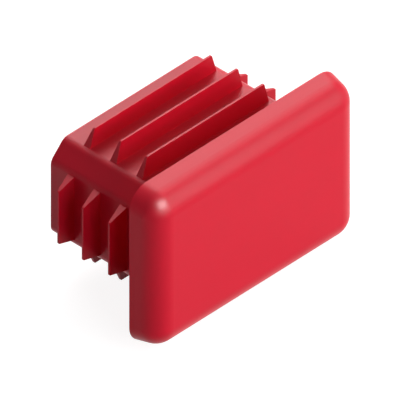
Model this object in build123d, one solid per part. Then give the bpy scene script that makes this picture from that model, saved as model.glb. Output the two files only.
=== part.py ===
"""Ribbed end cap for a rectangular tube, moulded in one piece.

A thick head with rounded edges closes the tube. A hollow plug with its corners cut
off goes into the tube, and thin fins all round it bend and grip the tube's bore.

Millimetres, +Z up. The origin is the centre of the head's inner face, which seats on
the tube's end. The plug points along +Y and the head's outer face looks along -Y.
"""
import os

from build123d import *

# Head
head_width = 38.0  # along X, the same as the tube outside
head_height = 24.8  # along Z
head_thickness = 4.55  # from the seat to the outer face
head_taper = 9.0  # degrees, the four sides lean in towards the outer face
head_round = 3.2  # radius on the four corners and all round the outer face

# Fit in the tube
tube_wall = 1.5  # the head covers the tube's end, so the bore is the head less two walls
core_gap = 2.95  # between the bore and the plug's core
fin_squeeze = 0.18  # how far the fins stand past the bore before they bend

# Plug
plug_length = 18.2  # from the seat to the open end
plug_chamfer = 2.44  # cut off each long corner
plug_chamfer_round = 1.5  # softens both edges of each cut
plug_wall = 2.0
pocket_taper = 1.0  # degrees, the pocket narrows towards its floor
face_wall = 2.4  # left between the pocket's floor and the outer face

# Fins
fin_count = 3  # on each of the four sides
first_fin = 4.77  # from the seat to the first fin's upright face
fin_pitch = 4.65
fin_root = 1.12  # thickness at the core
fin_tip = 0.27  # thickness at the tip
fin_end_gap = 0.5  # core left bare between a fin's end and the cut corner
fin_end_lean = 0.85  # each end leans in by this much from the core to the tip
fin_tip_radius = 0.25  # rounds the two corners of the tip
nose_fin_drop = 0.32  # the fin nearest the open end is this much lower
fin_sink = 0.5  # how deep a fin's foot runs into the core

bore_width = head_width - 2 * tube_wall
bore_height = head_height - 2 * tube_wall
core_width = bore_width - 2 * core_gap
core_height = bore_height - 2 * core_gap
fin_height = core_gap + fin_squeeze


def make_head():
    """Block whose four sides lean in, with every edge but the seat's rounded."""
    block = extrude(Plane.XZ * Rectangle(head_width, head_height), head_thickness)
    sides = block.faces().filter_by(Axis.Y, reverse=True)
    block = draft(sides, Plane.XZ, head_taper)
    outer_face = block.faces().sort_by(Axis.Y)[0]
    seat = block.faces().sort_by(Axis.Y)[-1]
    return fillet(block.edges() - seat.edges(), head_round)


def core_outline():
    """The plug's section: a rectangle with its corners cut off."""
    rectangle = Rectangle(core_width, core_height)
    return chamfer(rectangle.vertices(), plug_chamfer)


def make_core():
    """The plug before it is hollowed, without fins."""
    section = core_outline()
    section = fillet(section.vertices(), plug_chamfer_round)
    return extrude(Plane.XZ * section, -plug_length)


def make_pocket():
    """The plug's hollow, open at its far end and slightly narrower at its floor."""
    mouth = Plane((0, plug_length, 0), x_dir=(1, 0, 0), z_dir=(0, -1, 0))
    depth = plug_length + head_thickness - face_wall
    pocket = extrude(mouth * offset(core_outline(), -plug_wall), depth)
    sides = pocket.faces().filter_by(Axis.Y, reverse=True)
    return draft(sides, mouth, pocket_taper)


def make_fin(core_face, flat_span, upright, height):
    """One fin on the core's upper side.

    core_face is that side's distance from the plug's axis and flat_span its flat
    width between the cut corners. The face towards the head is upright, and the
    face towards the open end slopes, so the fin folds back as the plug goes in.
    """
    foot = core_face - fin_sink
    tip = core_face + height
    profile = Polygon(
        (upright, foot),
        (upright + fin_root, foot),
        (upright + fin_root, core_face),
        (upright + fin_tip, tip),
        (upright, tip),
        align=None,
    )
    root_half = flat_span / 2 - fin_end_gap
    tip_half = root_half - fin_end_lean
    blade = extrude(Plane.YZ * profile, root_half, both=True)

    front = Polygon(
        (-root_half, foot),
        (root_half, foot),
        (root_half, core_face),
        (tip_half, tip),
        (-tip_half, tip),
        (-root_half, core_face),
        align=None,
    )
    front = fillet(front.vertices().group_by(Axis.Y)[-1], fin_tip_radius)
    ends = extrude(Plane.XZ.offset(-upright) * front, -fin_root)
    return blade & ends


def make_fins():
    """Rows of fins on all four sides of the core."""
    sides = (
        (core_height / 2, core_width - 2 * plug_chamfer, (0, 180)),
        (core_width / 2, core_height - 2 * plug_chamfer, (90, 270)),
    )
    fins = []
    for row in range(fin_count):
        upright = first_fin + row * fin_pitch
        is_nose = row == fin_count - 1
        height = fin_height - nose_fin_drop if is_nose else fin_height
        for core_face, flat_span, turns in sides:
            fin = make_fin(core_face, flat_span, upright, height)
            fins += [fin.rotate(Axis.Y, turn) for turn in turns]
    return fins


def make_end_cap():
    """The whole moulding."""
    return make_head() + make_core() + make_fins() - make_pocket()


os.makedirs("parts", exist_ok=True)
export_step(make_end_cap(), "parts/end_cap.step")
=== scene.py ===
"""Studio picture of a ribbed tube end cap: red moulded plastic on a pale floor.

Metres, +Z up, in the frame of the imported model. The head's outer face looks along -Y
and the plug points along +Y.
"""

import math

import bpy
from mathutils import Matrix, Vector


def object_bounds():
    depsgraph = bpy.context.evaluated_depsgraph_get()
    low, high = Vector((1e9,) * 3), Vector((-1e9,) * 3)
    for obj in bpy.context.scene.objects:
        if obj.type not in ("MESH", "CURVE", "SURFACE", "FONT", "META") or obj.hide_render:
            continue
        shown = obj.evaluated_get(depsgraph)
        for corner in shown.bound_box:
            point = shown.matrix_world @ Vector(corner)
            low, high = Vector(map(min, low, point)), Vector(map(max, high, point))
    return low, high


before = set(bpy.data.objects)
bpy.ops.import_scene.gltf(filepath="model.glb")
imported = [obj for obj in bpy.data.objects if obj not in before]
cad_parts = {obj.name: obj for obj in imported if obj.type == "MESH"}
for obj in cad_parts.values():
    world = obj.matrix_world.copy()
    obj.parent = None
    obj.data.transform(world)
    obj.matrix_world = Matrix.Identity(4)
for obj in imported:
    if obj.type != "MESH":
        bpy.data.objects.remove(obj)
cad_box = [list(corner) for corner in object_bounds()]

WHITE = (1.0, 1.0, 1.0, 1.0)

# Plastic. Its colour and roughness drift slowly from place to place, between the two reds and
# from ROUGHNESS up, and its surface has a fine grain. Scales are in noise cells to the metre.
RED_DEEP = (0.62, 0.002, 0.021, 1.0)
RED_BRIGHT = (0.66, 0.0026, 0.024, 1.0)
ROUGHNESS = 0.34
ROUGHNESS_DRIFT = 0.06
REFRACTION = 1.5
GLOSS_LEVEL = 0.19  # low, because the floor and the room are pure white in gloss
DRIFT_SCALE = 180.0
DRIFT_DETAIL = 2.0
DRIFT_UNEVENNESS = 0.5
GRAIN_SCALE = 5200.0
GRAIN_DETAIL = 3.0
GRAIN_UNEVENNESS = 0.6
GRAIN_DEPTH = 0.00002
GRAIN_STRENGTH = 0.04

# Camera
CAMERA_AZIMUTH = -46.0  # degrees: 0 is in front of the head and 90 is on the +X side
CAMERA_ELEVATION = 37.0
PICTURE_WIDTH = 0.05104  # across the picture, for an orthographic camera
AIM_RIGHT = -0.00416  # from the origin to the middle of the picture
AIM_UP = 0.00070
CAMERA_DISTANCE = 0.4
CAMERA_REACH = 10.0

# Floor
FLOOR_HEIGHT = cad_box[0][2]  # the object's lowest point
FLOOR_SIZE = 3.0
FLOOR_GREY = 0.32
FLOOR_GLOW = 0.9  # added where the background shows, so that the lit floor is white

# Room
ROOM_WHITE = 1.0  # where the background shows
ROOM_FILL = 0.02  # as a light on matt colour

# Lamps stand round the object and face it, at angles like the camera's. The last two numbers
# are how bright a lamp's face is as a light on matt colour, and how bright it looks in gloss.
# A lamp with 0 there has no such face.
# name, azimuth, elevation, distance, width, height, matt, gloss
LAMPS = (
    ("key", -6.0, 40.0, 0.50, 0.36, 0.30, 0.26, 36.0),
    ("front_low", 6.0, 10.0, 0.50, 0.40, 0.17, 3.4, 5.4),
    ("front_fill", 36.0, 5.0, 0.60, 0.95, 0.10, 4.0, 0.0),
    ("front_high", 36.0, 30.0, 0.56, 0.50, 0.28, 2.2, 0.0),
    ("left_front", -23.0, 13.0, 0.48, 0.16, 0.22, 3.5, 4.8),
    ("left_rear", -120.0, 8.0, 0.50, 0.26, 0.14, 1.2, 0.0),
    ("right", 50.0, 25.0, 0.53, 0.52, 0.37, 1.0, 1.6),
    ("right_high", 72.0, 54.0, 0.51, 0.26, 0.22, 0.0, 1.2),
    ("right_rear", 128.0, 36.0, 0.50, 0.30, 0.30, 2.4, 4.4),
    ("top_right", 112.0, 60.0, 0.51, 0.42, 0.28, 0.0, 4.0),
    ("top_rear", 150.0, 50.0, 0.57, 0.46, 0.34, 2.6, 0.0),
    ("rear", 168.0, 47.0, 0.54, 0.40, 0.38, 0.7, 0.3),
)
GLOSS_SETBACK = 0.02  # a lamp's face for gloss stands this far behind its face for matt colour


class Nodes:
    """Adds nodes to one material or world and wires them."""

    def __init__(self, owner):
        owner.use_nodes = True
        self.tree = owner.node_tree
        self.tree.nodes.clear()

    def add(self, kind, settings=None, **sockets):
        """Makes a node, gives it its settings, then its sockets' values or links."""
        node = self.tree.nodes.new(kind)
        for name, value in (settings or {}).items():
            setattr(node, name, value)
        for name, value in sockets.items():
            self.connect(node, name.replace("_", " "), value)
        return node

    def connect(self, node, name, value):
        """Sets one socket, given by name or number, to a value or a link."""
        key = int(name[1:]) if name[0] == "i" and name[1:].isdigit() else name
        socket = node.inputs[key]
        if isinstance(value, Wire):
            value = value.socket
        if isinstance(value, bpy.types.NodeSocket):
            self.tree.links.new(value, socket)
        else:
            socket.default_value = value


class Wire:
    """A number that runs through the nodes, so sums can be written plainly."""

    def __init__(self, nodes, socket):
        self.nodes = nodes
        self.socket = socket

    def _maths(self, operation, other):
        node = self.nodes.add("ShaderNodeMath", {"operation": operation}, i0=self, i1=other)
        return Wire(self.nodes, node.outputs[0])

    def __add__(self, other):
        return self._maths("ADD", other)

    __radd__ = __add__

    def __mul__(self, other):
        return self._maths("MULTIPLY", other)

    __rmul__ = __mul__


def red_plastic():
    """Moulded plastic with a soft gloss and a very fine grain."""
    material = bpy.data.materials.new("red_plastic")
    nodes = Nodes(material)
    place = nodes.add("ShaderNodeTexCoord").outputs["Object"]
    cloud = nodes.add(
        "ShaderNodeTexNoise",
        Vector=place,
        Scale=DRIFT_SCALE,
        Detail=DRIFT_DETAIL,
        Roughness=DRIFT_UNEVENNESS,
    )
    grain = nodes.add(
        "ShaderNodeTexNoise",
        Vector=place,
        Scale=GRAIN_SCALE,
        Detail=GRAIN_DETAIL,
        Roughness=GRAIN_UNEVENNESS,
    )
    drift = Wire(nodes, cloud.outputs["Fac"])
    colour = nodes.add(
        "ShaderNodeMix",
        {"data_type": "RGBA"},
        Factor=drift,
        i6=RED_DEEP,
        i7=RED_BRIGHT,
    )
    relief = nodes.add(
        "ShaderNodeBump",
        Strength=GRAIN_STRENGTH,
        Distance=GRAIN_DEPTH,
        Height=grain.outputs["Fac"],
    )
    shader = nodes.add(
        "ShaderNodeBsdfPrincipled",
        Base_Color=colour.outputs[2],
        Roughness=ROUGHNESS + ROUGHNESS_DRIFT * drift,
        IOR=REFRACTION,
        Specular_IOR_Level=GLOSS_LEVEL,
        Normal=relief.outputs["Normal"],
    )
    nodes.add("ShaderNodeOutputMaterial", Surface=shader.outputs["BSDF"])
    return material


def shows_background(nodes):
    """1 for the camera, gloss and glass, which are shown the white background, else 0."""
    path = nodes.add("ShaderNodeLightPath")
    camera = Wire(nodes, path.outputs["Is Camera Ray"])
    gloss = Wire(nodes, path.outputs["Is Glossy Ray"])
    glass = Wire(nodes, path.outputs["Is Transmission Ray"])
    return camera + gloss + glass


def floor_material():
    """Pale floor: white as a background, with the object's own soft shadow on it."""
    material = bpy.data.materials.new("pale_floor")
    nodes = Nodes(material)
    grey = (FLOOR_GREY, FLOOR_GREY, FLOOR_GREY, 1.0)
    matt = nodes.add("ShaderNodeBsdfDiffuse", Color=grey)
    glow = nodes.add("ShaderNodeEmission", Color=WHITE, Strength=FLOOR_GLOW)
    white = nodes.add("ShaderNodeAddShader", i0=matt.outputs[0], i1=glow.outputs[0])
    mix = nodes.add(
        "ShaderNodeMixShader", i0=shows_background(nodes), i1=matt.outputs[0], i2=white.outputs[0]
    )
    nodes.add("ShaderNodeOutputMaterial", Surface=mix.outputs[0])
    return material


def make_floor():
    """A plain floor that the object stands on."""
    bpy.ops.object.select_all(action="DESELECT")
    bpy.ops.mesh.primitive_plane_add(size=FLOOR_SIZE, location=(0.0, 0.0, FLOOR_HEIGHT))
    floor = bpy.context.object
    floor.name = "floor"
    floor.data.materials.append(floor_material())


def make_world():
    """White as a background and very dim as a light."""
    world = bpy.data.worlds.new("studio")
    bpy.context.scene.world = world
    nodes = Nodes(world)
    fill = nodes.add("ShaderNodeBackground", Color=WHITE, Strength=ROOM_FILL)
    white = nodes.add("ShaderNodeBackground", Color=WHITE, Strength=ROOM_WHITE)
    mix = nodes.add(
        "ShaderNodeMixShader", i0=shows_background(nodes), i1=fill.outputs[0], i2=white.outputs[0]
    )
    nodes.add("ShaderNodeOutputWorld", Surface=mix.outputs[0])


def direction(azimuth, elevation):
    """Unit vector towards a place: azimuth 0 is -Y and 90 is +X."""
    turn = math.radians(azimuth)
    rise = math.radians(elevation)
    flat = math.cos(rise)
    return Vector((flat * math.sin(turn), -flat * math.cos(turn), math.sin(rise)))


def lamp_face(name, towards, distance, width, height, radiance):
    """One rectangular lamp that faces the object. Radiance is how bright its face is."""
    lamp = bpy.data.lights.new(name, "AREA")
    lamp.shape = "RECTANGLE"
    lamp.size = width
    lamp.size_y = height
    lamp.energy = radiance * math.pi * width * height
    holder = bpy.data.objects.new(name, lamp)
    bpy.context.scene.collection.objects.link(holder)
    holder.location = towards * distance
    holder.rotation_euler = towards.to_track_quat("Z", "Y").to_euler()
    return holder


def soft_lamp(name, azimuth, elevation, distance, width, height, matt, gloss):
    """A soft lamp, with one face for matt colour and one for gloss."""
    towards = direction(azimuth, elevation)
    if matt:
        face = lamp_face(name, towards, distance, width, height, matt)
        face.visible_glossy = False
    if gloss:
        face = lamp_face(name + "_gloss", towards, distance + GLOSS_SETBACK, width, height, gloss)
        face.visible_diffuse = False


def make_camera():
    """Looks down on the front and the left side, with no perspective."""
    azimuth = math.radians(CAMERA_AZIMUTH)
    back = direction(CAMERA_AZIMUTH, CAMERA_ELEVATION)
    right = Vector((math.cos(azimuth), math.sin(azimuth), 0.0))
    up = back.cross(right)
    camera = bpy.data.cameras.new("camera")
    camera.type = "ORTHO"
    camera.ortho_scale = PICTURE_WIDTH
    camera.clip_end = CAMERA_REACH
    holder = bpy.data.objects.new("camera", camera)
    bpy.context.scene.collection.objects.link(holder)
    aim = right * AIM_RIGHT + up * AIM_UP
    holder.location = aim + back * CAMERA_DISTANCE
    holder.rotation_euler = back.to_track_quat("Z", "Y").to_euler()
    bpy.context.scene.camera = holder


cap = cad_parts["end_cap"]
cap.data.materials.clear()
cap.data.materials.append(red_plastic())

make_floor()
make_world()
for lamp in LAMPS:
    soft_lamp(*lamp)
make_camera()
bpy.context.scene.view_settings.view_transform = "Standard"
